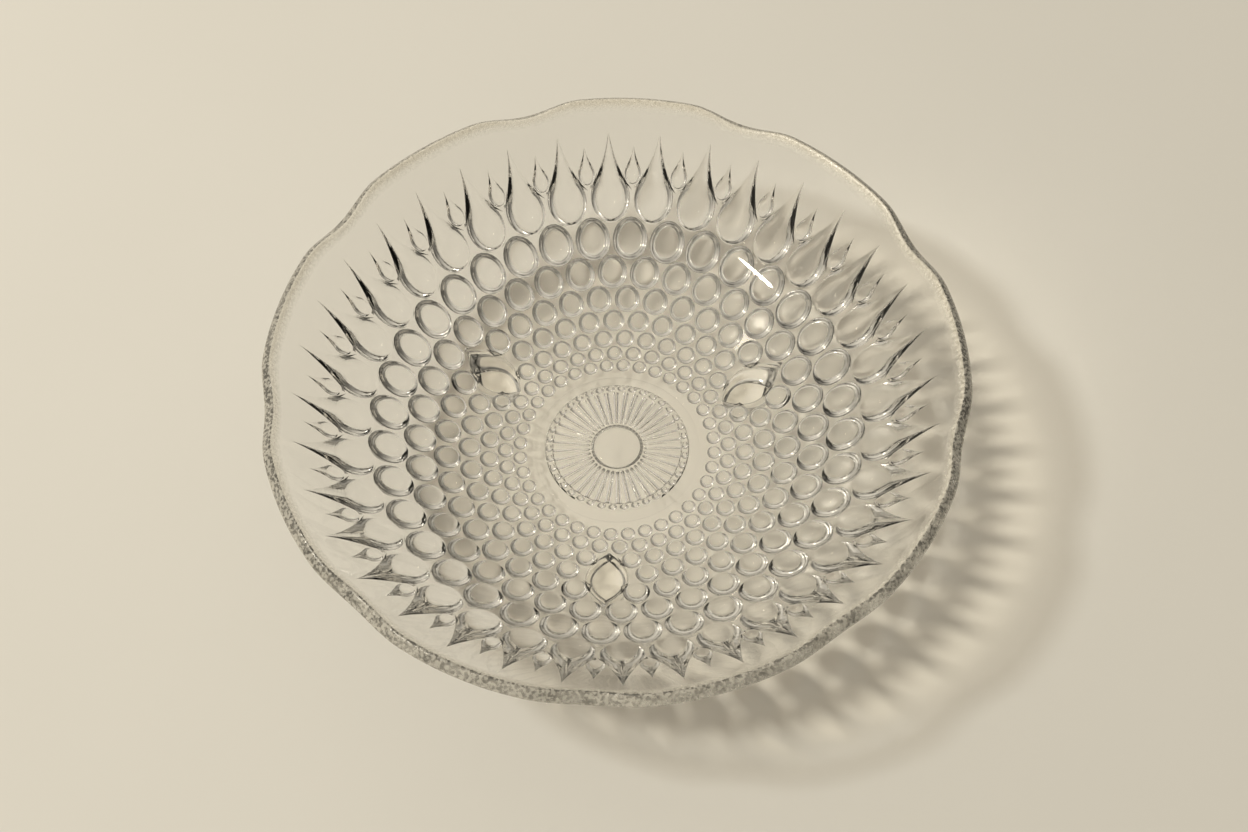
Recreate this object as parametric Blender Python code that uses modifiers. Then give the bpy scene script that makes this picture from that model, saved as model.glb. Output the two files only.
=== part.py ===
"""Pressed-glass bowl on three feet, in metres, +Z up.

The origin is on the bowl's axis, in the plane that the three soles stand on, and one foot points along -Y.
The real bowl is one pressing of clear glass. Each region of it is a solid of its own here, with a hair gap between
neighbours: the base medallion, the hobnail wall, the teardrop band, the scalloped rim and the three feet.
"""

import math

import bmesh
import bpy
from mathutils import Matrix, Vector

# The plain outside of the bowl: flat under the base, then one sweep out to the lip.
FOOT_HEIGHT = 0.0080  # from the soles up to the flat underside
LIP_RADIUS = 0.1047  # where the outside surface meets the rounded lip
BOWL_RISE = 0.0474  # from the flat underside up to the end of that surface
SWEEP = 1.78  # power of the outside curve
WALL = 0.0037  # glass thickness from mid-height to the lip
BASE_THICKNESS = 0.0062
GAP = 0.0003  # between neighbouring regions
CLEARANCE = 0.0002  # from a raised shape to the edge of its region

# Base medallion, on the underside: plain disc, ring of flutes, plain ring.
DISC_RADIUS = 0.0084
DISC_RECESS = 0.0008
FLUTE_COUNT = 38
FLUTE_OUTER_RADIUS = 0.0228
FLUTE_DEPTH = 0.0007
FLUTE_RUN_OUT = 0.0012
PLAIN_RING = 0.0055
FLAT_MARGIN = 0.0019  # the underside stays flat for this much past the medallion

# Widths of the regions above the hobnails, as steps in radius.
RIM_BAND = 0.0054  # plain glass
TEAR_BAND = 0.0226

# Where one region ends and the next begins, as radii on the outside surface.
MEDALLION_RADIUS = FLUTE_OUTER_RADIUS + PLAIN_RING
BASE_RADIUS = MEDALLION_RADIUS + FLAT_MARGIN
RIM_START = LIP_RADIUS - RIM_BAND
TEAR_BAND_START = RIM_START - TEAR_BAND

# Pattern on the outside. Each row holds PATTERN_COUNT copies, and alternate rows are turned by half a pitch.
PATTERN_COUNT = 36
HOBNAIL_ROWS = 7
INNER_FILL = 0.85  # hobnail diameter over its pitch, innermost row
OUTER_FILL = 0.87  # the same, outermost row
NEIGHBOUR_FILL = 0.92  # the most of the way to the next row's hobnails that two of them may take up
HOBNAIL_HEIGHT = 0.40  # over the hobnail's radius
HOBNAIL_CROWN = 0.55  # flat crown's radius over the hobnail's
HOBNAIL_SIDES = 6
ROOT_SHARE = 0.2  # how deep a hobnail is rooted in the wall, over its height

# Teardrops stand above the last row, and smaller darts fill the spaces between their tips.
TEAR_RADIUS = 0.0062
TEAR_HEIGHT = 0.0022
TEAR_TIP_MARGIN = 0.0009  # from the point to the edge of the band
DART_RADIUS = 0.0030
DART_HEIGHT = 0.0014
DART_RISE = 0.0067  # from the middle of a teardrop's round end to that of a dart, as a step in radius
DART_TIP_MARGIN = 0.0032  # from a teardrop's point down to a dart's
TAIL_ROOT = 0.0010  # how deep the tail of a drop is rooted in the wall

# Scalloped rim.
SCALLOPS = 9
FIRST_NOTCH_DEG = 30
NOTCH_DEPTH = 0.0029  # down the wall
NOTCH_HALF_WIDTH_DEG = 10

# Feet: a leaf in plan, with its long axis along the bowl's radius.
FOOT_COUNT = 3
FOOT_NAMES = ("foot_right", "foot_left", "foot_front")
FIRST_FOOT_DEG = 30
FOOT_CENTRE_RADIUS = 0.0479
FOOT_LENGTH = 0.0205  # where it meets the wall
FOOT_WIDTH = 0.0125
SOLE_SHARE = 0.62  # sole over the same outline at the wall
SOLE_ROUNDING = 0.0010
FOOT_SIDES = 24

WALL_STEPS = 72
WALL_POINTS = 8  # along each side of the hobnail wall's profile
BAND_POINTS = 3  # the same for the teardrop band and the rim
RIM_STEPS = 108
LIP_POINTS = 4


def clear_scene():
    for obj in list(bpy.data.objects):
        bpy.data.objects.remove(obj, do_unlink=True)


def collection(name):
    made = bpy.data.collections.new(name)
    bpy.context.scene.collection.children.link(made)
    return made


def glass(name, tint):
    """Clear glass with a faint tint, one material for each region."""
    material = bpy.data.materials.new(name)
    material.use_nodes = True
    shader = material.node_tree.nodes["Principled BSDF"]
    shader.inputs["Base Color"].default_value = (*tint, 1.0)
    shader.inputs["Metallic"].default_value = 0.0
    shader.inputs["Roughness"].default_value = 0.03
    shader.inputs["IOR"].default_value = 1.52
    shader.inputs["Transmission Weight"].default_value = 1.0
    material.diffuse_color = (*tint, 0.35)
    return material


# Geometry of the wall


def sweep_share(radius):
    return max(radius - BASE_RADIUS, 0.0) / (LIP_RADIUS - BASE_RADIUS)


def outside_height(radius):
    return FOOT_HEIGHT + BOWL_RISE * sweep_share(radius) ** SWEEP


def outside_slope(radius):
    return BOWL_RISE * SWEEP * sweep_share(radius) ** (SWEEP - 1) / (LIP_RADIUS - BASE_RADIUS)


def outward(radius):
    """The outside surface's normal in the plane of the axis, as (radial, vertical)."""
    slope = outside_slope(radius)
    length = math.hypot(slope, 1)
    return slope / length, -1 / length


def wall_point(radius, depth):
    """The point that lies depth into the glass under the outside surface, in the XZ plane."""
    radial, vertical = outward(radius)
    return Vector((radius - depth * radial, 0, outside_height(radius) - depth * vertical))


def thickness(radius):
    """Thick at the base, thinning to the wall by half-way out."""
    share = min(2 * sweep_share(radius), 1.0)
    ease = share * share * (3 - 2 * share)
    return BASE_THICKNESS + (WALL - BASE_THICKNESS) * ease


def half_gap(radius):
    """Half the gap between regions, as a step in radius."""
    return GAP / 2 / math.hypot(outside_slope(radius), 1)


def radii(first, last, count):
    return [first + (last - first) * i / (count - 1) for i in range(count)]


def wall_profile(first, last, count):
    """Closed outline of a stretch of wall: down the outside, then up the inside."""
    along = radii(first + half_gap(first), last - half_gap(last), count)
    outside = [wall_point(r, 0) for r in reversed(along)]
    inside = [wall_point(r, thickness(r)) for r in along]
    return outside + inside


# Modelling helpers


def add_mesh(name, mesh, into, material=None):
    obj = bpy.data.objects.new(name, mesh)
    into.objects.link(obj)
    if material:
        mesh.materials.clear()
        mesh.materials.append(material)
    return obj


def evaluated_mesh(obj, name):
    bpy.context.view_layer.update()
    graph = bpy.context.evaluated_depsgraph_get()
    mesh = bpy.data.meshes.new_from_object(obj.evaluated_get(graph))
    mesh.name = name
    return mesh


def turned(name, profile, steps, closed=True):
    """A solid of revolution's mesh, from a profile that runs down its outer side."""
    last = len(profile) - 1
    edges = [(i, i + 1) for i in range(last)]
    if closed:
        edges.append((last, 0))
    mesh = bpy.data.meshes.new(name + "_profile")
    mesh.from_pydata(profile, edges, [])
    obj = bpy.data.objects.new(name + "_profile", mesh)
    bpy.context.scene.collection.objects.link(obj)
    screw = obj.modifiers.new("Screw", "SCREW")
    screw.axis = "Z"
    screw.steps = steps
    screw.render_steps = steps
    screw.use_merge_vertices = True
    screw.merge_threshold = 1e-5
    result = evaluated_mesh(obj, name)
    bpy.data.objects.remove(obj, do_unlink=True)
    bpy.data.meshes.remove(mesh)
    bm = bmesh.new()
    bm.from_mesh(result)
    bmesh.ops.recalc_face_normals(bm, faces=bm.faces)
    bm.to_mesh(result)
    bm.free()
    return result


def shade(obj):
    obj.data.shade_smooth()
    obj.data.set_sharp_from_angle(angle=math.radians(35))


def cutter(name, mesh):
    obj = add_mesh(name, mesh, CUTTERS)
    obj.hide_render = True
    obj.display_type = "WIRE"
    return obj


def boolean(obj, operation, other):
    """A union also joins the other mesh's own shapes where they meet."""
    modifier = obj.modifiers.new(operation.title(), "BOOLEAN")
    modifier.operation = operation
    modifier.solver = "EXACT"
    modifier.use_self = operation == "UNION"
    modifier.object = other


def on_wall(radius, angle):
    """Matrix that puts a shape on the outside surface: local Z points out of the glass, and local X up the wall."""
    radial, vertical = outward(radius)
    normal = Vector((radial, 0, vertical))
    uphill = Vector((-vertical, 0, radial))
    across = normal.cross(uphill)
    frame = Matrix((uphill, across, normal)).transposed().to_4x4()
    return Matrix.Rotation(angle, 4, "Z") @ Matrix.Translation(wall_point(radius, 0)) @ frame


# Regions


def base_medallion():
    """Disc, flutes and plain ring under the base. The flutes' valleys are cut up into the glass."""
    top = FOOT_HEIGHT + BASE_THICKNESS
    edge = MEDALLION_RADIUS - GAP / 2
    flute_start = DISC_RADIUS + FLUTE_RUN_OUT / 2
    underside = [
        (edge, 0),
        (FLUTE_OUTER_RADIUS, 0),
        (FLUTE_OUTER_RADIUS - FLUTE_RUN_OUT, 0),
        (flute_start + FLUTE_RUN_OUT, 0),
        (flute_start, 0),
        (DISC_RADIUS, 0),
        (DISC_RADIUS - FLUTE_RUN_OUT, DISC_RECESS),
        (0, DISC_RECESS),
    ]
    profile = [Vector((0, 0, top)), Vector((edge / 2, 0, top)), Vector((edge, 0, top))]
    profile += [Vector((radius, 0, FOOT_HEIGHT + rise)) for radius, rise in underside]
    mesh = turned("base_medallion", profile, 2 * FLUTE_COUNT, closed=False)
    pitch = math.pi / FLUTE_COUNT
    for vertex in mesh.vertices:
        radius = math.hypot(vertex.co.x, vertex.co.y)
        in_flutes = flute_start + FLUTE_RUN_OUT / 2 < radius < FLUTE_OUTER_RADIUS - FLUTE_RUN_OUT / 2
        step = round(math.atan2(vertex.co.y, vertex.co.x) / pitch)
        if in_flutes and vertex.co.z < FOOT_HEIGHT + BASE_THICKNESS / 2 and step % 2:
            vertex.co.z += FLUTE_DEPTH
    return add_mesh("base_medallion", mesh, PARTS, glass("medallion_glass", (0.95, 0.96, 0.94)))


def foot_angles():
    return [math.radians(FIRST_FOOT_DEG) + math.tau * i / FOOT_COUNT for i in range(FOOT_COUNT)]


def hobnail_share(row):
    """A hobnail's radius over that of its row."""
    fill = INNER_FILL + (OUTER_FILL - INNER_FILL) * row / (HOBNAIL_ROWS - 1)
    return fill * math.pi / PATTERN_COUNT


def row_radius(row):
    """Rows grow evenly from one that just clears the medallion to one that just clears the teardrop band."""
    root = 1 + (1 - HOBNAIL_CROWN) * ROOT_SHARE
    first = (MEDALLION_RADIUS + CLEARANCE) / (1 - hobnail_share(0) * root)
    last = TEAR_BAND_START
    for _ in range(6):
        level = 1 / math.hypot(outside_slope(last), 1)
        last = (TEAR_BAND_START - CLEARANCE) / (1 + hobnail_share(HOBNAIL_ROWS - 1) * root * level)
    return first * (last / first) ** (row / (HOBNAIL_ROWS - 1))


def hobnail_radius(row):
    """A share of the pitch, or of the way to the next row's hobnails where that is shorter."""
    radius = row_radius(row)
    other = row_radius(row + 1 if row + 1 < HOBNAIL_ROWS else row - 1)
    half_pitch = math.pi / PATTERN_COUNT
    across = min(radius, other) * half_pitch
    along = abs(other - radius) * math.hypot(outside_slope(min(radius, other)), 1)
    space = min(2 * radius * half_pitch, math.hypot(across, along))
    return min(hobnail_share(row) * radius, NEIGHBOUR_FILL * space / 2)


def under_a_foot(radius, angle, size):
    """Whether a hobnail there would touch a foot's leaf outline where it meets the wall."""
    for foot in foot_angles():
        turn = (angle - foot + math.pi) % math.tau - math.pi
        along = (radius * math.cos(turn) - FOOT_CENTRE_RADIUS) / (FOOT_LENGTH / 2)
        across = radius * math.sin(turn)
        reach = FOOT_WIDTH / 2 * max(1 - along * along, 0)
        past_end = max(abs(along) - 1, 0) * FOOT_LENGTH / 2
        if math.hypot(max(abs(across) - reach, 0), past_end) < size + GAP:
            return True
    return False


def hobnail_places():
    pitch = math.tau / PATTERN_COUNT
    for row in range(HOBNAIL_ROWS):
        radius = row_radius(row)
        size = hobnail_radius(row)
        for i in range(PATTERN_COUNT):
            angle = pitch * (i + row % 2 / 2)
            if not under_a_foot(radius, angle, size):
                yield radius, angle, size


def hobnails():
    """Every hobnail as a low domed button, rooted in the wall."""
    bm = bmesh.new()
    for radius, angle, size in hobnail_places():
        height = HOBNAIL_HEIGHT * size
        crown = HOBNAIL_CROWN * size
        bmesh.ops.create_cone(
            bm,
            cap_ends=True,
            segments=HOBNAIL_SIDES,
            radius1=size + (size - crown) * ROOT_SHARE,
            radius2=crown,
            depth=height * (1 + ROOT_SHARE),
            matrix=on_wall(radius, angle) @ Matrix.Translation((0, 0, height * (1 - ROOT_SHARE) / 2)),
        )
    mesh = bpy.data.meshes.new("hobnails")
    bm.to_mesh(mesh)
    bm.free()
    return mesh


def hobnail_wall():
    profile = wall_profile(MEDALLION_RADIUS, TEAR_BAND_START, WALL_POINTS)
    mesh = turned("hobnail_wall", profile, WALL_STEPS)
    obj = add_mesh("hobnail_wall", mesh, PARTS, glass("hobnail_glass", (0.94, 0.95, 0.93)))
    boolean(obj, "UNION", cutter("hobnail_shapes", hobnails()))
    return obj


def drop(bm, centre, tip, size, height, angle):
    """A round end drawn out to a point up the wall: the hull of a flattened ball and the ends of the tail."""
    ball = bmesh.new()
    # With three rings of faces, the ball's sides cross the wall steeply and it is widest over a band, not on a line.
    widest = math.cos(math.radians(30))
    flat = Matrix.Diagonal((size / widest, size / widest, height, 1))
    bmesh.ops.create_uvsphere(
        ball, u_segments=8, v_segments=3, radius=1, matrix=on_wall(centre, angle) @ flat
    )
    turn = Matrix.Rotation(angle, 4, "Z")
    tail = [turn @ wall_point(tip, TAIL_ROOT / 4), turn @ wall_point(tip - size / 2, 2 * TAIL_ROOT)]
    points = [bm.verts.new(place) for place in [*(v.co for v in ball.verts), *tail]]
    ball.free()
    hull = bmesh.ops.convex_hull(bm, input=points)
    inside = [v for v in hull["geom_interior"] if isinstance(v, bmesh.types.BMVert)]
    bmesh.ops.delete(bm, geom=inside, context="VERTS")


def drops():
    level = 1 / math.hypot(outside_slope(TEAR_BAND_START + TEAR_RADIUS / 2), 1)
    tear_centre = TEAR_BAND_START + CLEARANCE + TEAR_RADIUS * level
    tear_tip = RIM_START - TEAR_TIP_MARGIN
    dart_centre = tear_centre + DART_RISE
    dart_tip = tear_tip - DART_TIP_MARGIN
    bm = bmesh.new()
    pitch = math.tau / PATTERN_COUNT
    for i in range(PATTERN_COUNT):
        drop(bm, dart_centre, dart_tip, DART_RADIUS, DART_HEIGHT, pitch * i)
        drop(bm, tear_centre, tear_tip, TEAR_RADIUS, TEAR_HEIGHT, pitch * (i + 0.5))
    bmesh.ops.recalc_face_normals(bm, faces=bm.faces)
    mesh = bpy.data.meshes.new("drops")
    bm.to_mesh(mesh)
    bm.free()
    return mesh


def teardrop_band():
    profile = wall_profile(TEAR_BAND_START, RIM_START, BAND_POINTS)
    mesh = turned("teardrop_band", profile, WALL_STEPS)
    obj = add_mesh("teardrop_band", mesh, PARTS, glass("teardrop_glass", (0.93, 0.95, 0.94)))
    boolean(obj, "UNION", cutter("teardrop_shapes", drops()))
    return obj


def notch(angle):
    """How far the lip dips down the wall: a rounded dip at each notch, and none along a lobe."""
    pitch = math.tau / SCALLOPS
    offset = (angle - math.radians(FIRST_NOTCH_DEG) + pitch / 2) % pitch - pitch / 2
    half_width = math.radians(NOTCH_HALF_WIDTH_DEG)
    if abs(offset) >= half_width:
        return 0.0
    return NOTCH_DEPTH * (0.5 + 0.5 * math.cos(math.pi * offset / half_width))


def scalloped_rim():
    """The plain top of the wall with its rounded lip. The lip dips at the notches, and the band below it shortens."""
    start = RIM_START + half_gap(RIM_START)
    along = radii(start, LIP_RADIUS, BAND_POINTS)
    outside = [wall_point(r, 0) for r in reversed(along)]
    inside = [wall_point(r, thickness(r)) for r in along]
    radial, vertical = outward(LIP_RADIUS)
    out = Vector((radial, 0, vertical))
    uphill = Vector((-vertical, 0, radial))
    middle = wall_point(LIP_RADIUS, WALL / 2)
    lip = []
    for i in range(1, LIP_POINTS + 1):
        turn = math.pi * i / (LIP_POINTS + 1)
        lip.append(middle + WALL / 2 * (uphill * math.sin(turn) - out * math.cos(turn)))
    mesh = turned("rim", outside + inside + lip, RIM_STEPS)
    low = outside_height(start) + WALL
    high = middle.z
    for vertex in mesh.vertices:
        weight = min(max((vertex.co.z - low) / (high - low), 0.0), 1.0)
        angle = math.atan2(vertex.co.y, vertex.co.x)
        fall = Matrix.Rotation(angle, 3, "Z") @ uphill
        vertex.co -= fall * notch(angle) * weight
    return add_mesh("rim", mesh, PARTS, glass("rim_glass", (0.92, 0.94, 0.93)))


def under_wall():
    """Everything above the plain outside surface, less the hair gap: what a foot is cut off by."""
    along = radii(MEDALLION_RADIUS, TEAR_BAND_START, WALL_POINTS)
    top = 2 * outside_height(TEAR_BAND_START)
    below = [wall_point(r, -GAP) for r in reversed(along)]
    profile = [Vector((0, 0, top)), Vector((TEAR_BAND_START, 0, top)), *below]
    profile.append(Vector((0, 0, FOOT_HEIGHT - GAP)))
    return cutter("under_wall", turned("under_wall", profile, WALL_STEPS, closed=False))


def leaf(vertex, share):
    """Moves a point of a unit circle to the leaf's outline. The half-width falls as the square of the way to a point."""
    turn = math.atan2(vertex.co.y, vertex.co.x)
    vertex.co.x = share * FOOT_LENGTH / 2 * math.cos(turn)
    vertex.co.y = share * FOOT_WIDTH / 2 * math.sin(turn) * abs(math.sin(turn))


def foot(name, angle, tops):
    """A leaf-shaped peg with drafted sides, a flat sole, and a top that follows the wall."""
    height = outside_height(FOOT_CENTRE_RADIUS + FOOT_LENGTH) + WALL
    join = outside_height(FOOT_CENTRE_RADIUS)
    bm = bmesh.new()
    bmesh.ops.create_cone(
        bm,
        cap_ends=True,
        segments=FOOT_SIDES,
        radius1=1,
        radius2=1,
        depth=height - SOLE_ROUNDING,
        matrix=Matrix.Translation((0, 0, (height + SOLE_ROUNDING) / 2)),
    )
    for vertex in bm.verts:
        leaf(vertex, SOLE_SHARE + (1 - SOLE_SHARE) * (vertex.co.z - SOLE_ROUNDING) / (join - SOLE_ROUNDING))
    lowest = min(bm.faces, key=lambda face: face.calc_center_median().z)
    sole = bmesh.ops.extrude_discrete_faces(bm, faces=[lowest])["faces"][0]
    for vertex in sole.verts:
        vertex.co *= (SOLE_SHARE - 2 * SOLE_ROUNDING / FOOT_WIDTH) / SOLE_SHARE
        vertex.co.z = 0
    bmesh.ops.recalc_face_normals(bm, faces=bm.faces)
    mesh = bpy.data.meshes.new(name)
    bm.to_mesh(mesh)
    bm.free()
    obj = add_mesh(name, mesh, PARTS, glass(name + "_glass", (0.90, 0.93, 0.92)))
    turn = Matrix.Rotation(angle, 4, "Z")
    obj.matrix_world = turn @ Matrix.Translation((FOOT_CENTRE_RADIUS, 0, 0))
    boolean(obj, "DIFFERENCE", tops)
    return obj


clear_scene()
PARTS = collection("footed_glass_bowl")
CUTTERS = collection("cutters")
pieces = [base_medallion(), hobnail_wall(), teardrop_band(), scalloped_rim()]
tops_of_feet = under_wall()
pieces += [foot(name, angle, tops_of_feet) for name, angle in zip(FOOT_NAMES, foot_angles())]
for piece in pieces:
    shade(piece)
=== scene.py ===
"""Looks of the pressed-glass bowl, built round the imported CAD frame, in metres, +Z up.

The real bowl is one pressing, so all of it is one closed sheet of glass here. The pattern is laid out in cells:
a hexagon round each hobnail, a taller cell round each teardrop and each dart, and a patch round each foot. A cell's
edge repeats the points of its neighbours' edges, so the cells weld into one surface.
"""

import math

import bmesh
import bpy
from mathutils import Matrix, Vector


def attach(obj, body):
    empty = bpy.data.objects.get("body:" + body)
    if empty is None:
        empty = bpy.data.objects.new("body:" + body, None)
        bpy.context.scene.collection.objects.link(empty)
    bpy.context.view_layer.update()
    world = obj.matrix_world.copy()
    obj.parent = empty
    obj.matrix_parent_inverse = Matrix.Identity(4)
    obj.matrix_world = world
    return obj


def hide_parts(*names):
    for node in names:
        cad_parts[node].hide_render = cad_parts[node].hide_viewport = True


MILLIMETRES = 1000  # in a metre

# The plain outside of the bowl, as in the CAD.
FOOT_HEIGHT = 0.0080
LIP_RADIUS = 0.1047
BOWL_RISE = 0.0474
SWEEP = 1.78
WALL = 0.0037
BASE_THICKNESS = 0.0062
BASE_RADIUS = 0.0302
RIM_START = 0.0993

# Medallion under the base.
DISC_RADIUS = 0.0084
DISC_RECESS = 0.0017
DISC_STEP = 0.0012
FLUTE_COUNT = 38
FLUTE_POINTS = 8  # around each flute
FLUTE_END = 0.0204  # where the straight part of a flute ends and its bead begins
BEAD_CENTRE = 0.0216
FLUTE_OUTER_RADIUS = 0.0228
FLUTE_DEPTH = 0.0016
FLUTE_RIDGE = 0.1  # share of that depth left at a flute's ridge
FLUTE_POWER = 2.5  # above 1 the ridges are broad and the valleys narrow
FLUTE_RUN_OUT = 0.0012  # over which the flutes rise from the disc
BEAD_RADIUS = 0.0011
RING_LINE_RADIUS = 0.0263
RING_LINE_WIDTH = 0.0004
RING_LINE_HEIGHT = 0.00015
# Rings of points in millimetres, from outside to inside, close together where the height changes.
PLAIN_RINGS = (27.7, 27.0, 26.7, 26.5, 26.3, 26.1, 25.9, 24.5, 23.2, 22.8)
BEAD_RINGS = (22.65, 22.4, 22.1, 21.8, 21.5, 21.2, 20.9, 20.6)
FLUTE_RINGS = (20.35, 20.0, 17.5, 15.0, 12.5, 10.6, 9.6, 9.0, 8.7)
DISC_RINGS = (8.4, 8.1, 7.8, 7.5, 7.2, 5.0, 2.5)

# Pattern: rows of hobnails, alternate rows turned by half a pitch.
PATTERN_COUNT = 36
HALF_PITCH = math.pi / PATTERN_COUNT
HOBNAIL_ROWS = 7
FIRST_ROW = 0.0310
LAST_ROW = 0.0717
ROW_GROWTH = (LAST_ROW / FIRST_ROW) ** (1 / (HOBNAIL_ROWS - 1))
INNER_FILL = 0.85  # a hobnail's width over its pitch, in the first row
OUTER_FILL = 0.935  # and in the last
CELL_SHIFT = 0.035  # of a row, towards the middle, where the hobnails are smaller
HOBNAIL_EDGE = math.radians(74)  # slope of a hobnail's dome at its edge
SIDE_CUTS = 4  # along each side of a cell
FILLET = 0.00008  # where a raised shape meets the wall
GUARD = 0.00006  # ring just outside the fillet, which keeps the wall's shading flat up to it
DOME_SHARES = (1.0, 0.965, 0.89, 0.77, 0.60, 0.35)  # rings of a hobnail's dome, as shares of its radius

# Section of a drop's tail, from its edge to its ridge: {share of the way from the ridge: share of the height}.
ROOF = {1.0: 0.0, 0.94: 0.05, 0.80: 0.24, 0.55: 0.58, 0.28: 0.86, 0.10: 0.975, 0.0: 1.0}
DROP_EDGE = math.radians(64)  # slope of a drop's round end at its edge
ROOF_BLEND = 0.45  # share of the tail over which the round end's dome turns into the roof

# Teardrops, and the darts between their tips. Each has a round end, inwards, and a tail that tapers outwards.
TEAR_CENTRE = 0.0826
TEAR_RADIUS = 0.0066
TEAR_HEIGHT = 0.0038
TEAR_TIP = 0.0986
TEAR_BEND = 8  # point of half the outline at which the tail starts
DART_CENTRE = 0.0884
DART_RADIUS = 0.0028
DART_HEIGHT = 0.0017
DART_TIP = 0.0952
DART_BEND = 5
TAIL_POWER = 1.4  # how quickly a drop narrows
TAIL_HEIGHT_POWER = 0.95  # how its height falls with its width
ROUND_END_TURN = math.radians(20)  # how far past its widest point the round end runs before the tail
DART_CELL_START = 0.0843
DART_CELL_HALF_WIDTH = math.radians(3.8)
DART_CELL_POWER = 0.4  # below 1 the cell widens quickly from its bottom
DART_CELL_CUTS = 10
DART_TOP_CUTS = 3  # along half of the top of a dart's cell

# Scalloped rim.
SCALLOPS = 9
FIRST_NOTCH = math.radians(30)
NOTCH_DEPTH = 0.0029
NOTCH_HALF_WIDTH = math.radians(10)
RIM_RINGS = 4
LIP_POINTS = 11
LIP_POWER = 0.50  # below 1 the lip has a flatter top between two rounded edges
LIP_RISE = 0.60  # height of the lip's top over half the wall's thickness

# Feet.
FOOT_COUNT = 3
FIRST_FOOT = math.radians(30)
FOOT_ROW = 3  # a foot stands in place of two hobnails of this row, and of one in the row on each side
FOOT_CENTRE_RADIUS = 0.0479
FOOT_LENGTH = 0.0205
FOOT_WIDTH = 0.0125
SOLE_SHARE = 0.85  # size of the sole over the foot's outline where it meets the wall
SOLE_ROUNDING = 0.0010
SOLE_EDGE_CUTS = 3
SOLE_RINGS = (0.6, 0.25)
FOOT_FILLET = 0.0003
FOOT_SIDE_RINGS = (1.0, 0.66, 0.33, 0.0)  # shares of the way up from the sole's edge
MEETING_STEPS = 8  # enough for a foot's side to meet the wall exactly

# Inside of the bowl.
INSIDE_RINGS = 34
FLOOR_RINGS = (0.024, 0.016, 0.008)

WELD = 1e-6  # distance within which points are joined

# Camera.
LENS = 50
CLIP = (0.01, 50.0)
CAMERA = Vector((0.02475, -0.26990, 0.49130))
TARGET = Vector((0.00216, 0.00328, 0.02490))
CAMERA_ROLL = -0.0236

# Glass. A range is that of the noise over which a quality goes from least to most.
GLASS_COLOUR = (0.988, 0.983, 0.970)
GLASS_IOR = 1.52
PATCH_SCALE = 90.0  # of the uneven fire polish
PATCH_RANGE = (0.35, 0.75)
PATCH_ROUGHNESS = 0.03
LIP_COLOUR = (0.87, 0.84, 0.77)
LIP_ROUGHNESS = 0.22
GRAIN_SCALE = 1000.0
GRAIN_DEPTH = 0.00016
RAISED_GRAIN = 0.14  # how strong the grain is on raised glass, over the lip's
SPECK_RANGE = (0.42, 0.58)
LIP_FROST = (0.10, 0.42)  # share of light that the lip scatters, between its specks and in them

# Studio.
FLOOR_HALF_SIZE = 4.0
FLOOR_GAP = 0.0001  # between the soles and the board
BOARD_LIGHT = (0.725, 0.715, 0.695)
BOARD_DARK = (0.710, 0.700, 0.678)
BOARD_MOTTLE_SCALE = 7.0
BOARD_MOTTLE_RANGE = (0.3, 0.7)
BOARD_ROUGHNESS = 0.85
BOARD_SHINE = 0.2
BOARD_PAINTED_SHADE_NEAR = 0.92  # painted shade: the board's brightness towards the viewer, darker as if less lit there
BOARD_PAINTED_SHADE_FADE = 0.3  # metres before and behind the middle over which that painted shade fades
SKY = ((0.0, 0.56), (0.5, 0.56), (0.90, 1.08))  # height and brightness
SKY_COLOUR = (1.0, 0.92, 0.76)
SKY_STRENGTH = 0.54
BRIGHT_SIDE = math.radians(168)  # the side that the sky is brighter on
SKY_SLANT = 0.66  # how much brighter or darker it is at the sides
SKY_SIDE = 0.8  # how far to a side, of 1, the sky goes on getting brighter or darker
LAMP_DISTANCE = 2.0
LAMP_COLOUR = (1.0, 0.93, 0.78)
# Azimuth from +X towards +Y, elevation and tilt in degrees, width, height and power. The first lights the board and is
# not seen in the glass; the second is a thin strip that is seen only in the glass.
LAMPS = {"key": (186, 53, 0, 0.24, 0.24, 26.5), "strip": (206, 46, 16, 0.46, 0.022, 5.0)}
# Share of a lamp's light that goes straight through: by radius in millimetres, through the lip and through raised
# glass. Above 1 it stands in for light that the glass round the place sends there.
THROUGH = (
    (27, (0.98, 0.97, 0.95)),
    (34, (0.98, 0.97, 0.94)),
    (70, (0.96, 0.945, 0.91)),
    (78, (1.16, 1.14, 1.10)),
    (94, (1.10, 1.08, 1.04)),
    (99, (0.84, 0.82, 0.79)),
)
THROUGH_LIP = (0.72, 0.69, 0.64)
THROUGH_RAISED = (0.12, 0.09, 0.05)
HOBNAIL_SIDE_MARK = 0.45  # how much a hobnail's side counts as raised
BOUNCES = 20  # for paths through many walls of glass

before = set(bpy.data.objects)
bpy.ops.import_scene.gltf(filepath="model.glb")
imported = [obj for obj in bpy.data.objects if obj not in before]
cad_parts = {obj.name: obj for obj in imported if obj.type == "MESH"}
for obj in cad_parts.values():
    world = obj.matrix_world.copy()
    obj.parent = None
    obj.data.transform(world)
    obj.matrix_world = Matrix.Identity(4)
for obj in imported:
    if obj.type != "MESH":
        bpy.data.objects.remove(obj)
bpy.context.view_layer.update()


# Geometry of the wall


def sweep_share(radius):
    return max(radius - BASE_RADIUS, 0.0) / (LIP_RADIUS - BASE_RADIUS)


def outside_height(radius):
    return FOOT_HEIGHT + BOWL_RISE * sweep_share(radius) ** SWEEP


def outside_slope(radius):
    return BOWL_RISE * SWEEP * sweep_share(radius) ** (SWEEP - 1) / (LIP_RADIUS - BASE_RADIUS)


def thickness(radius):
    share = min(2 * sweep_share(radius), 1.0)
    ease = share * share * (3 - 2 * share)
    return BASE_THICKNESS + (WALL - BASE_THICKNESS) * ease


def polar(angle, radius, height):
    return Vector((radius * math.cos(angle), radius * math.sin(angle), height))


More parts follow.
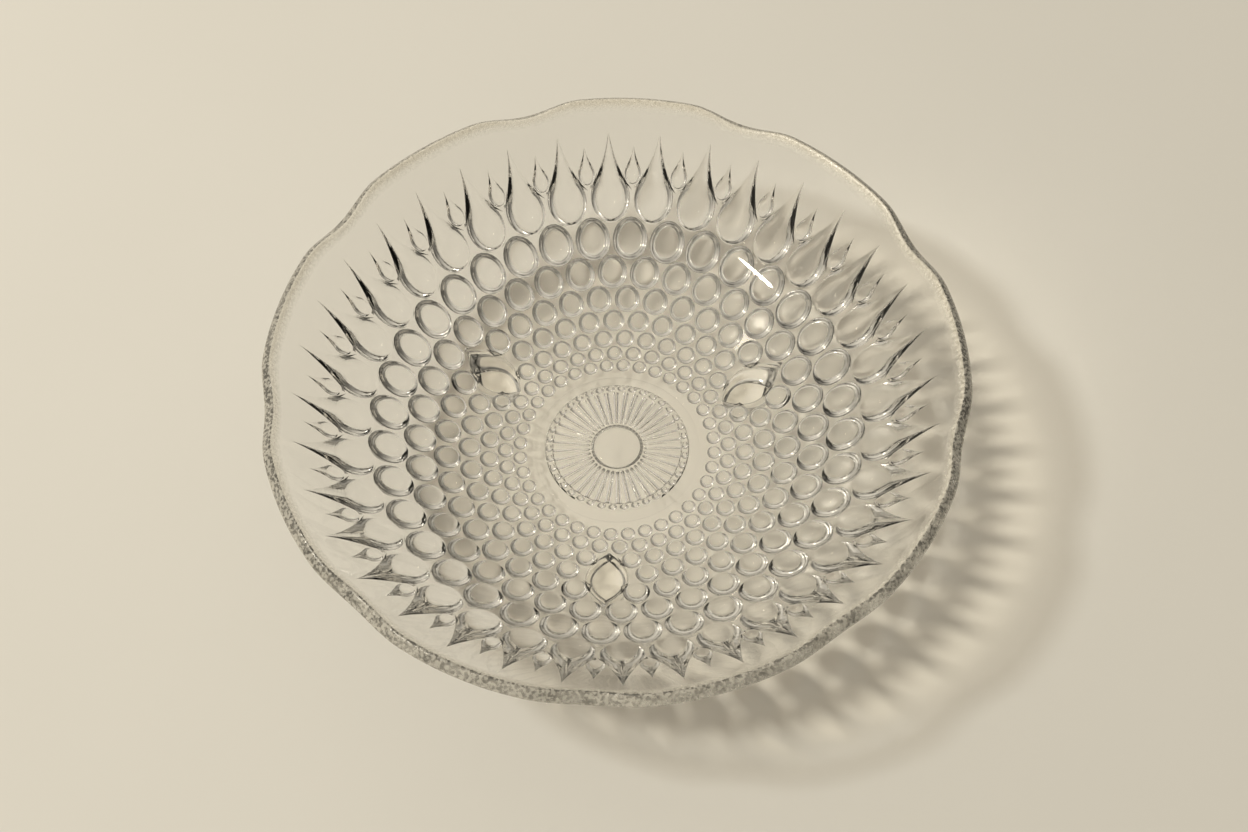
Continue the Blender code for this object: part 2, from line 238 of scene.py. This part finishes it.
def wall_point(angle, radius, lift=0.0):
    """The point that stands lift out from the plain outside surface."""
    slope = outside_slope(radius)
    length = math.hypot(slope, 1)
    return polar(angle, radius + lift * slope / length, outside_height(radius) - lift / length)


def off_centre(angle, radius, across, along, lift):
    """The point over the wall at distances across and outwards from a centre, as seen from above."""
    reach = radius + along
    return wall_point(angle + across / reach, reach, lift)


def row_radius(row):
    return FIRST_ROW * ROW_GROWTH**row


# One closed sheet


class Sheet:
    """Points and faces of a surface, with two marks on each point that the material reads.

    Points that coincide are joined by mesh().
    """

    def __init__(self):
        self.points = []
        self.marks = {"raised": [], "lip": []}
        self.faces = []

    def ring(self, points, **marks):
        """Adds points, all with the same marks, which are 0 unless given."""
        start = len(self.points)
        self.points.extend(points)
        for name, values in self.marks.items():
            values.extend([marks.get(name, 0.0)] * len(points))
        return range(start, len(self.points))

    def strip(self, a, b):
        """Four-sided faces between two closed rings of the same length."""
        for i in range(len(a)):
            self.faces.append((a[i - 1], a[i], b[i], b[i - 1]))

    def fan(self, ring, tip):
        (middle,) = self.ring([tip])
        for i in range(len(ring)):
            self.faces.append((ring[i - 1], ring[i], middle))

    def rings(self, loops, tip=None, marks=()):
        """Strips through a list of loops of points, closed by a fan if there is a tip.

        marks gives those of the first loops. The rest have none.
        """
        marks = [*marks] + [{}] * (len(loops) - len(marks))
        made = [self.ring(loop, **mark) for loop, mark in zip(loops, marks)]
        for a, b in zip(made, made[1:]):
            self.strip(a, b)
        if tip is not None:
            self.fan(made[-1], tip)
        return made

    def zip_rings(self, a, b):
        """Triangles between two rings round the axis, each in order of angle from the same start."""
        i = j = 0
        while i < len(a) or j < len(b):
            if j >= len(b) or (i < len(a) and (i + 1) / len(a) <= (j + 1) / len(b)):
                self.faces.append((a[i], a[(i + 1) % len(a)], b[j % len(b)]))
                i += 1
            else:
                self.faces.append((a[i % len(a)], b[(j + 1) % len(b)], b[j]))
                j += 1

    def mesh(self, name):
        mesh = bpy.data.meshes.new(name)
        mesh.from_pydata(self.points, [], self.faces)
        for key, values in self.marks.items():
            mesh.attributes.new(key, "FLOAT", "POINT").data.foreach_set("value", values)
        bm = bmesh.new()
        bm.from_mesh(mesh)
        bmesh.ops.remove_doubles(bm, verts=bm.verts, dist=WELD)
        bmesh.ops.recalc_face_normals(bm, faces=bm.faces)
        bm.to_mesh(mesh)
        bm.free()
        mesh.shade_smooth()
        return mesh


def cut(start, end, cuts):
    """The start and the points between it and the end, which belongs to the next stretch."""
    return [tuple(a + (b - a) * i / cuts for a, b in zip(start, end)) for i in range(cuts)]


# Cells. An outline is a list of (angle, radius), all the way round.


def hexagon(angle, row):
    """Corners of the cell round a hobnail, as (half pitches, thirds of a row), from the bottom."""
    column = round(angle / HALF_PITCH)
    steps = ((0, -2), (1, -1), (1, 1), (0, 2), (-1, 1), (-1, -1))
    return [(column + turn, 3 * row + rise) for turn, rise in steps]


def place(corner):
    column, thirds = corner
    shift = CELL_SHIFT if thirds < 3 * (HOBNAIL_ROWS - 1) else 0.0
    return column * HALF_PITCH, row_radius(thirds / 3 - shift)


def side(start, end):
    """Points along a cell's side, cut evenly in (half pitch, row) so that both neighbours agree."""
    return [place(corner) for corner in cut(start, end, SIDE_CUTS)]


def outline_through(corners):
    return [point for a, b in zip(corners, corners[1:] + corners[:1]) for point in side(a, b)]


def raised(outline, middle, shape, shares, height):
    """Wall from a cell's outline to the foot of a raised shape, then the shape's own surface.

    shape(i, share, grow) gives the place of outline point i on the shape scaled to that share of its size and then
    grown outwards, as (across, along), and height(i, share) the height there.
    """
    angle, radius = middle
    count = range(len(outline))
    loops = [[wall_point(*point) for point in outline]]
    for grow in (FILLET + GUARD, FILLET):
        loops.append([off_centre(angle, radius, *shape(i, 1.0, grow), 0.0) for i in count])
    for share in shares:
        loops.append([off_centre(angle, radius, *shape(i, share, 0.0), height(i, share)) for i in count])
    return loops


def dome(share, edge):
    """Height of a dome with that slope at its edge, at a share of its radius, over that radius."""
    sphere = 1 / math.sin(edge)
    return math.sqrt(sphere * sphere - share * share) - 1 / math.tan(edge)


def hobnail(sheet, angle, row):
    radius = row_radius(row)
    fill = INNER_FILL + (OUTER_FILL - INNER_FILL) * (row / (HOBNAIL_ROWS - 1)) ** 2
    size = fill * HALF_PITCH * radius
    outline = outline_through(hexagon(angle, row))
    turns = []
    for turn, reach in outline:
        turns.append(math.atan2(reach - radius, reach * (turn - angle)))

    def shape(i, share, grow):
        reach = size * share + grow
        return reach * math.cos(turns[i]), reach * math.sin(turns[i])

    loops = raised(outline, (angle, radius), shape, DOME_SHARES, lambda i, share: size * dome(share, HOBNAIL_EDGE))
    # The wall up to the dome and the dome's crown stay unmarked.
    marks = [{}] * 3 + [{"raised": HOBNAIL_SIDE_MARK}] * (len(DOME_SHARES) - 2)
    sheet.rings(loops, tip=off_centre(angle, radius, 0, 0, size * dome(0, HOBNAIL_EDGE)), marks=marks)


def drop(sheet, outline, bend, middle, size, tip, rise):
    """A domed round end drawn out to a point, in a tail like a roof.

    The outline starts at the bottom, on the axis, and half of it later is the top, also on the axis. bend is the index
    of its point level with the start of the tail.
    """
    angle, radius = middle
    half = len(outline) // 2
    length = tip - radius
    tail_width = size * math.cos(ROUND_END_TURN)
    tail_start = size * math.sin(ROUND_END_TURN)

    def edge(step):
        """Right-hand half of the drop's edge, from the bottom, and the point of its axis that it faces."""
        if step <= bend:
            turn = -math.pi / 2 + (math.pi / 2 + ROUND_END_TURN) * step / bend
            across, along = size * math.cos(turn), size * math.sin(turn)
            return across, along, max(along, 0.0)
        share = (step - bend) / (half - bend)
        along = tail_start + (length - tail_start) * share
        return tail_width * (1 - share) ** TAIL_POWER, along, along

    edges = [edge(step) for step in range(half + 1)]

    def normal(step):
        before, after = edges[max(step - 1, 0)], edges[min(step + 1, half)]
        if step in (0, half):
            return 0.0, math.copysign(1, step - half / 2)
        run = math.hypot(after[0] - before[0], after[1] - before[1])
        return (after[1] - before[1]) / run, (before[0] - after[0]) / run

    normals = [normal(step) for step in range(half + 1)]

    def folded(i):
        return (i, 1) if i <= half else (len(outline) - i, -1)

    def shape(i, share, grow):
        step, hand = folded(i)
        across, along, axis = edges[step]
        out, up = normals[step]
        return hand * (across * share + grow * out), axis + (along - axis) * share + grow * up

    def height(i, share):
        step = folded(i)[0]
        across, along, axis = edges[step]
        crown = rise * (math.hypot(across, along - axis) / size) ** TAIL_HEIGHT_POWER
        bulb = dome(share, DROP_EDGE) / dome(0, DROP_EDGE)
        tail = min(max(step - bend, 0) / (half - bend) / ROOF_BLEND, 1.0)
        return crown * (bulb + (ROOF[share] - bulb) * tail)

    marks = [{}] * 3 + [{"raised": 1.0}] * len(ROOF)
    sheet.rings(raised(outline, middle, shape, ROOF, height), marks=marks)


def band_top(angle):
    """Angles of the points along the top of the teardrop band, over one pitch from a dart's axis."""
    dart = [angle + DART_CELL_HALF_WIDTH * i / DART_TOP_CUTS for i in range(DART_TOP_CUTS)]
    tear_half = HALF_PITCH - DART_CELL_HALF_WIDTH
    tear = [angle + DART_CELL_HALF_WIDTH, angle + HALF_PITCH]
    tear += [angle + HALF_PITCH + tear_half + DART_CELL_HALF_WIDTH * i / DART_TOP_CUTS for i in range(DART_TOP_CUTS)]
    return dart + tear


def dart_cell_edge(axis, hand):
    """Points up one side of the cell round a dart, from its bottom to the top of the band."""
    points = []
    for i in range(DART_CELL_CUTS + 1):
        share = i / DART_CELL_CUTS
        turn = hand * DART_CELL_HALF_WIDTH * share**DART_CELL_POWER
        points.append((axis + turn, DART_CELL_START + (RIM_START - DART_CELL_START) * share))
    return points


def dart(sheet, axis):
    right = dart_cell_edge(axis, 1)
    top = [(axis + DART_CELL_HALF_WIDTH * (1 - i / DART_TOP_CUTS), RIM_START) for i in range(1, 2 * DART_TOP_CUTS)]
    left = dart_cell_edge(axis, -1)
    outline = right + top + left[:0:-1]
    drop(sheet, outline, DART_BEND, (axis, DART_CENTRE), DART_RADIUS, DART_TIP, DART_HEIGHT)


def teardrop(sheet, axis):
    """Its cell runs from the last row of hobnails, between two darts' cells, to the top of the band."""
    column = round(axis / HALF_PITCH)
    last = 3 * (HOBNAIL_ROWS - 1)
    valley, right, left = (column, last + 1), (column + 1, last + 2), (column - 1, last + 2)
    start, crest = place(right)[1], DART_CELL_START
    half = side(valley, right) + cut((axis + HALF_PITCH, start), (axis + HALF_PITCH, crest), SIDE_CUTS)
    half += dart_cell_edge(axis + HALF_PITCH, -1)
    other = dart_cell_edge(axis - HALF_PITCH, 1)[::-1]
    other += cut((axis - HALF_PITCH, start), (axis - HALF_PITCH, crest), SIDE_CUTS)[::-1]
    other += side(valley, left)[:0:-1]
    outline = half + [(axis, RIM_START)] + other
    drop(sheet, outline, TEAR_BEND, (axis, TEAR_CENTRE), TEAR_RADIUS, TEAR_TIP, TEAR_HEIGHT)


# Feet


def foot_cells(angle):
    """The hexagons that a foot takes the place of."""
    cells = [(angle, FOOT_ROW - 1), (angle, FOOT_ROW + 1)]
    return cells + [(angle + hand * HALF_PITCH, FOOT_ROW) for hand in (-1, 1)]


def outer_corners(cells):
    """Corners round the outside of a group of cells, in order."""
    sides = set()
    for cell in cells:
        corners = hexagon(*cell)
        sides.update(zip(corners, corners[1:] + corners[:1]))
    following = {a: b for a, b in sides if (b, a) not in sides}
    corner = min(following)
    loop = []
    while corner not in loop:
        loop.append(corner)
        corner = following[corner]
    return loop


def foot(sheet, angle):
    """A leaf-shaped peg with drafted sides, a rounded edge and a flat sole."""
    outline = outline_through(outer_corners(foot_cells(angle)))
    turns = []
    for turn, radius in outline:
        along = radius * math.cos(turn - angle) - FOOT_CENTRE_RADIUS
        across = radius * math.sin(turn - angle)
        turns.append(math.atan2(across / FOOT_WIDTH, along / FOOT_LENGTH))
    join = outside_height(FOOT_CENTRE_RADIUS)
    draft = (1 - SOLE_SHARE) / (join - SOLE_ROUNDING)

    def leaf(turn, share, height, grow=0.0):
        along = FOOT_CENTRE_RADIUS + (share * FOOT_LENGTH / 2 + grow) * math.cos(turn)
        across = (share * FOOT_WIDTH / 2 * abs(math.sin(turn)) + grow) * math.sin(turn)
        return Matrix.Rotation(angle, 3, "Z") @ Vector((along, across, height))

    def on_outside(turn, grow):
        """Where the drafted side meets the wall, found by going back and forth between the two a few times."""
        height = join
        for _ in range(MEETING_STEPS):
            point = leaf(turn, SOLE_SHARE + draft * (height - SOLE_ROUNDING), height, grow)
            height = outside_height(math.hypot(point.x, point.y))
        return Vector((point.x, point.y, height))

    edge = FOOT_FILLET
    loops = [[wall_point(*point) for point in outline]]
    loops.append([on_outside(turn, 2 * edge) for turn in turns])
    loops.append([on_outside(turn, edge) for turn in turns])
    loops.append([on_outside(turn, edge / 3) - Vector((0, 0, edge / 2)) for turn in turns])
    tops = [on_outside(turn, 0.0).z - edge for turn in turns]
    for share in FOOT_SIDE_RINGS:
        heights = [SOLE_ROUNDING + (top - SOLE_ROUNDING) * share for top in tops]
        sides = [SOLE_SHARE + draft * (height - SOLE_ROUNDING) for height in heights]
        loops.append([leaf(*spot) for spot in zip(turns, sides, heights)])
    inset = 2 * SOLE_ROUNDING / FOOT_WIDTH
    for i in range(1, SOLE_EDGE_CUTS + 1):
        quarter = math.pi / 2 * i / SOLE_EDGE_CUTS
        share = SOLE_SHARE - inset * (1 - math.cos(quarter))
        loops.append([leaf(turn, share, SOLE_ROUNDING * (1 - math.sin(quarter))) for turn in turns])
    for share in SOLE_RINGS:
        loops.append([leaf(turn, (SOLE_SHARE - inset) * share, 0.0) for turn in turns])
    sheet.rings(loops, tip=leaf(0.0, 0.0, 0.0))


# Medallion


def flute_height(radius, across):
    """How far the underside is cut up into the glass. across is -1 to 1 from one valley to the next."""
    if radius <= DISC_RADIUS:
        share = min(max((DISC_RADIUS - radius) / DISC_STEP, 0.0), 1.0)
        return DISC_RECESS * share * share * (3 - 2 * share)
    if radius >= FLUTE_OUTER_RADIUS:
        ridge = 1 - abs(radius - RING_LINE_RADIUS) / RING_LINE_WIDTH
        return -RING_LINE_HEIGHT * max(ridge, 0.0)
    start = min((radius - DISC_RADIUS) / FLUTE_RUN_OUT, 1.0)
    if radius <= FLUTE_END:
        return FLUTE_DEPTH * start * (FLUTE_RIDGE + (1 - FLUTE_RIDGE) * abs(across) ** FLUTE_POWER)
    half_pitch = math.pi / FLUTE_COUNT * BEAD_CENTRE
    out = math.hypot(across * half_pitch, radius - BEAD_CENTRE) / BEAD_RADIUS
    bead = math.sqrt(max(1 - out * out, 0.0))
    return FLUTE_DEPTH * (1 - bead)


def medallion(sheet):
    """Flat disc, ring of flutes each ending in a bead, and a plain ring. Returns its outer ring."""
    columns = FLUTE_COUNT * FLUTE_POINTS
    loops = []
    for ring in PLAIN_RINGS + BEAD_RINGS + FLUTE_RINGS + DISC_RINGS:
        radius = ring / MILLIMETRES
        loop = []
        for column in range(columns):
            across = 2 * (column % FLUTE_POINTS) / FLUTE_POINTS - 1
            angle = math.tau * column / columns
            loop.append(polar(angle, radius, FOOT_HEIGHT + flute_height(radius, across)))
        loops.append(loop)
    made = sheet.rings(loops, tip=Vector((0, 0, FOOT_HEIGHT + DISC_RECESS)))
    return made[0]


# Inside and rim


def notch(angle):
    """How far the lip dips down the wall: a rounded dip at each notch, and none along a lobe."""
    pitch = math.tau / SCALLOPS
    offset = (angle - FIRST_NOTCH + pitch / 2) % pitch - pitch / 2
    if abs(offset) >= NOTCH_HALF_WIDTH:
        return 0.0
    return NOTCH_DEPTH * (0.5 + 0.5 * math.cos(math.pi * offset / NOTCH_HALF_WIDTH))


def rim_and_inside(sheet):
    """From the top of the teardrop band over the lip and down the inside to the middle of the floor."""
    angles = [turn for i in range(PATTERN_COUNT) for turn in band_top(2 * HALF_PITCH * i)]
    section = []
    for i in range(RIM_RINGS + 1):
        section.append(wall_point(0, RIM_START + (LIP_RADIUS - RIM_START) * i / RIM_RINGS))
    slope = outside_slope(LIP_RADIUS)
    out = Vector((slope, 0, -1)).normalized()
    uphill = Vector((1, 0, slope)).normalized()
    middle = wall_point(0, LIP_RADIUS, -WALL / 2)
    for i in range(1, LIP_POINTS + 1):
        turn = math.pi * i / (LIP_POINTS + 1)
        rise = LIP_RISE * math.sin(turn) ** LIP_POWER
        spread = math.copysign(abs(math.cos(turn)) ** LIP_POWER, math.cos(turn))
        section.append(middle + WALL / 2 * (uphill * rise + out * spread))
    for i in range(INSIDE_RINGS + 1):
        radius = LIP_RADIUS + (BASE_RADIUS - LIP_RADIUS) * i / INSIDE_RINGS
        section.append(wall_point(0, radius, -thickness(radius)))
    floor = section[-1].z
    section += [Vector((radius, 0, floor)) for radius in FLOOR_RINGS]
    low = outside_height(RIM_START) + WALL
    loops = []
    for point in section:
        weight = min(max((point.z - low) / (middle.z - low), 0.0), 1.0)
        slid = [point - uphill * notch(angle) * weight for angle in angles]
        loops.append([polar(angle, spot.x, spot.z) for angle, spot in zip(angles, slid)])
    lip = [{}] * RIM_RINGS + [{"lip": 1.0}] * (LIP_POINTS + 2)
    sheet.rings(loops, tip=Vector((0, 0, floor)), marks=lip)


def glass_bowl(material):
    sheet = Sheet()
    feet = [FIRST_FOOT + math.tau * i / FOOT_COUNT for i in range(FOOT_COUNT)]
    taken = {(round(turn / HALF_PITCH) % (2 * PATTERN_COUNT), row) for f in feet for turn, row in foot_cells(f)}
    for row in range(HOBNAIL_ROWS):
        for i in range(PATTERN_COUNT):
            column = 2 * i + row % 2
            if (column, row) not in taken:
                hobnail(sheet, column * HALF_PITCH, row)
    for i in range(PATTERN_COUNT):
        dart(sheet, 2 * i * HALF_PITCH)
        teardrop(sheet, (2 * i + 1) * HALF_PITCH)
    for angle in feet:
        foot(sheet, angle)
    edge = medallion(sheet)
    bottoms = [(column, -2 if column % 2 == 0 else -1) for column in range(2 * PATTERN_COUNT + 1)]
    zigzag = [point for a, b in zip(bottoms, bottoms[1:]) for point in side(a, b)]
    first_row = sheet.ring([wall_point(*point) for point in zigzag])
    sheet.zip_rings(edge, first_row)
    rim_and_inside(sheet)
    mesh = sheet.mesh("glass_bowl")
    mesh.materials.append(material)
    bowl = bpy.data.objects.new("glass_bowl", mesh)
    bpy.context.scene.collection.objects.link(bowl)
    return bowl


# Materials


def new_material(name):
    """A node material, its Principled shader, and functions that add a node with some inputs set and a link."""
    material = bpy.data.materials.new(name)
    material.use_nodes = True
    tree = material.node_tree

    def node(kind, **inputs):
        made = tree.nodes.new(kind)
        for key, value in inputs.items():
            made.inputs[key.replace("_", " ")].default_value = value
        return made

    return material, tree.nodes["Principled BSDF"], node, tree.links.new


def clear_glass():
    """Clear pressed glass: a trace of warm grey, and the faint unevenness of a surface that was never ground.

    The lip is rougher and grainy. A lamp's light that no bent path brings to the board goes straight on: nearly all of
    it in the middle, less through the wall and little through the teardrops, which spread it.
    """
    material, shader, node, link = new_material("clear_glass")
    coordinates = node("ShaderNodeTexCoord")

    def mark(name):
        found = node("ShaderNodeAttribute")
        found.attribute_name = name
        return found.outputs["Fac"]

    def maths(operation, *terms):
        """Result of a Math node. Each term is a number or a socket."""
        made = node("ShaderNodeMath")
        made.operation = operation
        for socket, term in zip(made.inputs, terms):
            if isinstance(term, float):
                socket.default_value = term
            else:
                link(term, socket)
        return made.outputs["Value"]

    def noise(scale):
        made = node("ShaderNodeTexNoise", Scale=scale, Detail=2.0)
        link(coordinates.outputs["Object"], made.inputs["Vector"])
        return made.outputs["Fac"]

    def spread(value, start, end, least=0.0, most=1.0):
        """The value's way from start to end, as a number from least to most."""
        made = node("ShaderNodeMapRange", From_Min=start, From_Max=end, To_Min=least, To_Max=most)
        link(value, made.inputs["Value"])
        return made.outputs["Result"]

    def blend(share, start, end):
        """A mix of two colours, each a tuple or a socket."""
        mix = node("ShaderNodeMix")
        mix.data_type = "RGBA"
        sockets = {each.identifier: each for each in mix.inputs}
        link(share, mix.inputs["Factor"])
        for name, colour in (("A_Color", start), ("B_Color", end)):
            if isinstance(colour, tuple):
                sockets[name].default_value = (*colour, 1)
            else:
                link(colour, sockets[name])
        return next(each for each in mix.outputs if each.identifier == "Result_Color")

    # Surface.
    lip, raised_glass = mark("lip"), mark("raised")
    patches = spread(noise(PATCH_SCALE), *PATCH_RANGE, 0.0, PATCH_ROUGHNESS)
    grain = noise(GRAIN_SCALE)
    frost = maths("MULTIPLY", spread(grain, *SPECK_RANGE, *LIP_FROST), lip)
    pitted = node("ShaderNodeBump", Distance=GRAIN_DEPTH)
    link(maths("MULTIPLY_ADD", raised_glass, RAISED_GRAIN, lip), pitted.inputs["Strength"])
    link(grain, pitted.inputs["Height"])
    shader.inputs["IOR"].default_value = GLASS_IOR
    link(blend(lip, GLASS_COLOUR, LIP_COLOUR), shader.inputs["Base Color"])
    link(maths("MULTIPLY_ADD", lip, LIP_ROUGHNESS, patches), shader.inputs["Roughness"])
    link(maths("SUBTRACT", 1.0, frost), shader.inputs["Transmission Weight"])
    link(pitted.outputs["Normal"], shader.inputs["Normal"])

    # Light let straight through, on shadow rays only.
    across = node("ShaderNodeVectorMath")
    across.operation = "MULTIPLY"
    across.inputs[1].default_value = (MILLIMETRES, MILLIMETRES, 0)
    link(coordinates.outputs["Object"], across.inputs[0])
    radius = node("ShaderNodeVectorMath")
    radius.operation = "LENGTH"
    link(across.outputs["Vector"], radius.inputs[0])
    tint = THROUGH[0][1]
    for (start, _), (end, colour) in zip(THROUGH, THROUGH[1:]):
        tint = blend(spread(radius.outputs["Value"], start, end), tint, colour)
    tint = blend(raised_glass, tint, THROUGH_RAISED)
    tint = blend(lip, tint, THROUGH_LIP)
    through = node("ShaderNodeBsdfTransparent")
    link(tint, through.inputs["Color"])
    ray = node("ShaderNodeLightPath")
    mix = node("ShaderNodeMixShader")
    link(ray.outputs["Is Shadow Ray"], mix.inputs["Fac"])
    link(shader.outputs["BSDF"], mix.inputs[1])
    link(through.outputs["BSDF"], mix.inputs[2])
    link(mix.outputs["Shader"], material.node_tree.nodes["Material Output"].inputs["Surface"])
    return material


def warm_board():
    """Warm off-white board, with a faint mottle, and painted shade that makes it a little darker towards the viewer.
    """
    material, shader, node, link = new_material("warm_board")
    coordinates = node("ShaderNodeTexCoord")
    mottle = node("ShaderNodeTexNoise", Scale=BOARD_MOTTLE_SCALE, Detail=5.0)
    link(coordinates.outputs["Object"], mottle.inputs["Vector"])
    ramp = node("ShaderNodeValToRGB")
    stops = zip(ramp.color_ramp.elements, BOARD_MOTTLE_RANGE, (BOARD_DARK, BOARD_LIGHT))
    for stop, position, colour in stops:
        stop.position = position
        stop.color = (*colour, 1)
    link(mottle.outputs["Fac"], ramp.inputs["Fac"])
    # Painted shade: the board's colour is made darker towards the viewer, standing in for less lamp light there.
    split = node("ShaderNodeSeparateXYZ")
    link(coordinates.outputs["Object"], split.inputs["Vector"])
    painted_shade_fall = node("ShaderNodeMapRange", From_Min=-BOARD_PAINTED_SHADE_FADE, From_Max=BOARD_PAINTED_SHADE_FADE, To_Min=BOARD_PAINTED_SHADE_NEAR, To_Max=1.0)
    link(split.outputs["Y"], painted_shade_fall.inputs["Value"])
    painted_shade_colour = node("ShaderNodeVectorMath")
    painted_shade_colour.operation = "SCALE"
    link(ramp.outputs["Color"], painted_shade_colour.inputs["Vector"])
    link(painted_shade_fall.outputs["Result"], painted_shade_colour.inputs["Scale"])
    link(painted_shade_colour.outputs["Vector"], shader.inputs["Base Color"])
    shader.inputs["Roughness"].default_value = BOARD_ROUGHNESS
    shader.inputs["Specular IOR Level"].default_value = BOARD_SHINE
    return material


# Stage


def floor(material):
    bm = bmesh.new()
    bmesh.ops.create_grid(bm, x_segments=1, y_segments=1, size=FLOOR_HALF_SIZE)
    mesh = bpy.data.meshes.new("floor")
    bm.to_mesh(mesh)
    bm.free()
    mesh.materials.append(material)
    made = bpy.data.objects.new("floor", mesh)
    made.location.z = -FLOOR_GAP
    bpy.context.scene.collection.objects.link(made)
    return made


def lamp(name, azimuth, elevation, tilt, width, height, power):
    """A soft lamp that faces the bowl."""
    turn, rise = math.radians(azimuth), math.radians(elevation)
    out = polar(turn, math.cos(rise), math.sin(rise))
    light = bpy.data.lights.new(name, "AREA")
    light.shape = "ELLIPSE"
    light.size, light.size_y = width, height
    light.energy = power
    light.color = LAMP_COLOUR
    made = bpy.data.objects.new(name, light)
    made.location = TARGET + out * LAMP_DISTANCE
    aim = out.to_track_quat("Z", "Y").to_matrix()
    made.rotation_euler = (aim @ Matrix.Rotation(math.radians(tilt), 3, "Z")).to_euler()
    bpy.context.scene.collection.objects.link(made)
    return made


def sky():
    """Soft light from above, dim up to half way and brighter on one side, which gives the glass its dark edges."""
    world = bpy.data.worlds.new("studio")
    world.use_nodes = True
    bpy.context.scene.world = world
    nodes, link = world.node_tree.nodes, world.node_tree.links.new
    background = nodes["Background"]
    direction = nodes.new("ShaderNodeTexCoord").outputs["Generated"]
    height = nodes.new("ShaderNodeSeparateXYZ")
    ramp = nodes.new("ShaderNodeValToRGB")
    stops = ramp.color_ramp.elements
    while len(stops) < len(SKY):
        stops.new(0.5)
    for stop, (position, brightness) in zip(stops, SKY):
        stop.position = position
        stop.color = (*(brightness * each for each in SKY_COLOUR), 1)
    link(direction, height.inputs["Vector"])
    link(height.outputs["Z"], ramp.inputs["Fac"])
    link(ramp.outputs["Color"], background.inputs["Color"])
    sideways = nodes.new("ShaderNodeVectorMath")
    sideways.operation = "DOT_PRODUCT"
    sideways.inputs[1].default_value = polar(BRIGHT_SIDE, 1, 0)
    link(direction, sideways.inputs[0])
    slant = nodes.new("ShaderNodeMapRange")
    slant.inputs["From Min"].default_value = -SKY_SIDE
    slant.inputs["From Max"].default_value = SKY_SIDE
    slant.inputs["To Min"].default_value = SKY_STRENGTH * (1 - SKY_SLANT)
    slant.inputs["To Max"].default_value = SKY_STRENGTH * (1 + SKY_SLANT)
    link(sideways.outputs["Value"], slant.inputs["Value"])
    link(slant.outputs["Result"], background.inputs["Strength"])


def camera():
    data = bpy.data.cameras.new("camera")
    data.lens = LENS
    data.clip_start, data.clip_end = CLIP
    made = bpy.data.objects.new("camera", data)
    made.location = CAMERA
    aim = (TARGET - CAMERA).to_track_quat("-Z", "Y").to_matrix()
    made.rotation_euler = (aim @ Matrix.Rotation(CAMERA_ROLL, 3, "Z")).to_euler()
    bpy.context.scene.collection.objects.link(made)
    bpy.context.scene.camera = made


bowl = glass_bowl(clear_glass())
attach(bowl, "root")
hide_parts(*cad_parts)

board = floor(warm_board())
sky()
key, strip = [lamp(name, *LAMPS[name]) for name in LAMPS]
key.visible_glossy = False
strip.visible_diffuse = False
camera()

# Light that the glass bends onto the board.
bowl.cycles.is_caustics_caster = True
board.cycles.is_caustics_receiver = True
key.data.cycles.is_caustics_light = True

scene = bpy.context.scene
scene.view_settings.view_transform = "Standard"
scene.cycles.max_bounces = BOUNCES
scene.cycles.transmission_bounces = BOUNCES
